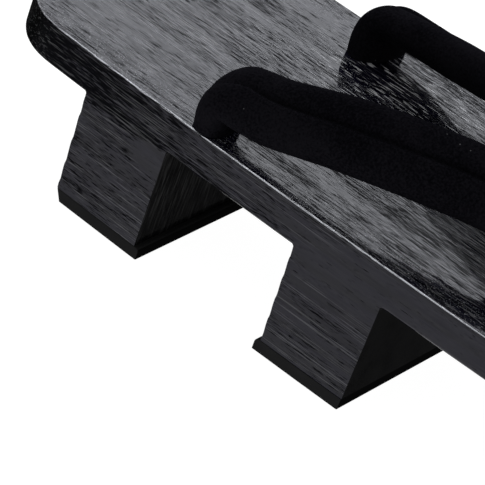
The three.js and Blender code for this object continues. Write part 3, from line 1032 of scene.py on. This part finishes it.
def section_ring(row):
    """The closed section of the band at one row, a rounded oblong with a crease in its outer face."""
    x, y, rise, width, thick, heading, pitch, roll, crease = row
    heading, pitch, roll = np.radians([heading, pitch, roll])
    flat, up = math.cos(pitch), math.sin(pitch)
    along = np.array([-math.sin(heading) * flat, math.cos(heading) * flat, up])
    unrolled = np.array([math.sin(heading) * up, -math.cos(heading) * up, flat])
    outward = np.cross(along, unrolled)
    face = unrolled * math.cos(roll) + outward * math.sin(roll)
    across = np.cross(face, along)
    turn = np.linspace(0, 2 * math.pi, SECTION_POINTS, endpoint=False)
    wide = width / 2 * np.sign(np.cos(turn)) * np.abs(np.cos(turn)) ** (2 / SECTION_SQUARENESS)
    deep = thick / 2 * np.sign(np.sin(turn)) * np.abs(np.sin(turn)) ** (2 / SECTION_SQUARENESS)
    from_crease = wide - CREASE_SHIFT + CREASE_SWING * max(0, 1 - crease / CREASE_FULL)
    spread = np.where(from_crease < 0, CREASE_LIP, CREASE_SLOPE)
    valley = np.exp(-np.abs(from_crease / spread) ** CREASE_ROUNDNESS)
    dent = np.where(deep > 0, CREASE_GAIN * crease * valley, 0)
    return np.array([x, y, DECK_TOP + rise]) + np.outer(wide, across) + np.outer(deep - dent, face)


# %% Strap
def make_strap():
    rows = np.vstack([stem_rows(), strap_rows()])
    rings = np.array([section_ring(row) for row in rows])
    faces = loft_faces(len(rings), SECTION_POINTS)
    faces.append(list(range(SECTION_POINTS))[::-1])
    mesh = mesh_from("velvet_strap", rings.reshape(-1, 3), faces)
    work = bmesh.new()
    work.from_mesh(mesh)
    everything = work.verts[:] + work.edges[:] + work.faces[:]
    bmesh.ops.bisect_plane(work, geom=everything, plane_co=(0, 0, 0), plane_no=(1, 0, 0), clear_inner=True)
    everything = work.verts[:] + work.edges[:] + work.faces[:]
    bmesh.ops.mirror(work, geom=everything, axis="X", merge_dist=WELD)
    work.to_mesh(mesh)
    work.free()
    return new_piece("velvet_strap", tidy_mesh(mesh), black_velvet)


strap = make_strap()
hand_over(strap, "velvet", "strap")

# %% [markdown]
# ## Toe thong
# A short velvet loop holds the fold of the strap and goes down through the deck between the toes. Its solid
# is cut from facets, so a welded copy is rebuilt from small cubes and smoothed, which gives it the soft,
# stuffed look of a sewn loop.

# %% Toe thong
THONG_CUBE = 0.45
THONG_SMOOTHING = 12


def make_thong():
    piece = new_piece("velvet_thong", copy_of_solid("toe_thong"), black_velvet)
    rebuild = piece.modifiers.new("small cubes", "REMESH")
    rebuild.mode = "VOXEL"
    rebuild.voxel_size = THONG_CUBE * MM
    soften = piece.modifiers.new("soften", "SMOOTH")
    soften.iterations = THONG_SMOOTHING
    settle(piece)
    tidy_mesh(piece.data)
    piece.data.materials.clear()
    piece.data.materials.append(black_velvet)
    return piece


thong = make_thong()
hand_over(thong, "velvet", "toe_thong")

# %% [markdown]
# ## Floor and light
# The sandal stands on a plain pale floor that glows softly, which lights it from below and leaves hardly
# any shadow. A broad dim panel stands on its far side, where the camera's view bounces off the deck, so the
# lacquer mirrors it as an even grey. Three more panels, overhead, at the near side and behind the heel,
# show only in what shines: they draw the thin line along the deck's rounded edge and the glints in the
# grain. As lamps for everything they would turn the cloth grey.

# %% Floor and light
FLOOR_HALF = 12.0
FLOOR_WHITE = (0.15, 0.15, 0.15, 1)
FLOOR_GLOW = 0.98
SURROUND = 0.55
COOL_WHITE = (0.95, 0.975, 1.04)
PANEL_AIM = Vector((0, 0, 0.05))
# Each panel is its name, its place, width and height in metres, its brightness and whether it lights cloth.
PANELS = [
    ("back_panel", (-1.1, -0.6, 0.85), 1.8, 0.9, 3.2, True),
    ("overhead_box", (0.15, -0.5, 1.0), 1.2, 0.5, 22.0, False),
    ("side_box", (1.0, -0.55, 0.75), 0.6, 0.5, 16.0, False),
    ("rear_wall", (-0.25, -1.1, 0.7), 1.2, 0.8, 7.0, False),
]


def make_floor():
    corners = [(FLOOR_HALF * x, FLOOR_HALF * y, 0) for x, y in ((-1, -1), (1, -1), (1, 1), (-1, 1))]
    mesh = bpy.data.meshes.new("floor")
    mesh.from_pydata(corners, [], [(0, 1, 2, 3)])
    finish = new_material(
        "pale_floor",
        Base_Color=FLOOR_WHITE,
        Roughness=0.9,
        Specular_IOR_Level=0.0,
        Emission_Color=(1, 1, 1, 1),
        Emission_Strength=FLOOR_GLOW,
    )
    floor = new_piece("floor", mesh, finish[0])


def make_panel(name, place, width, height, brightness, lights_cloth):
    light = bpy.data.lights.new(name, "AREA")
    light.shape = "RECTANGLE"
    light.size = width
    light.size_y = height
    light.energy = brightness * math.pi * width * height
    light.color = COOL_WHITE
    panel = bpy.data.objects.new(name, light)
    scene.collection.objects.link(panel)
    panel.location = place
    panel.rotation_mode = "QUATERNION"
    panel.rotation_quaternion = (PANEL_AIM - Vector(place)).to_track_quat("-Z", "Y")
    panel.visible_camera = False
    panel.visible_diffuse = lights_cloth


make_floor()
for panel in PANELS:
    make_panel(*panel)
scene.world = bpy.data.worlds.new("surround")
scene.world.use_nodes = True
sky = scene.world.node_tree.nodes["Background"].inputs
sky["Color"].default_value = (1, 1, 1, 1)
sky["Strength"].default_value = SURROUND
scene.view_settings.view_transform = "Standard"
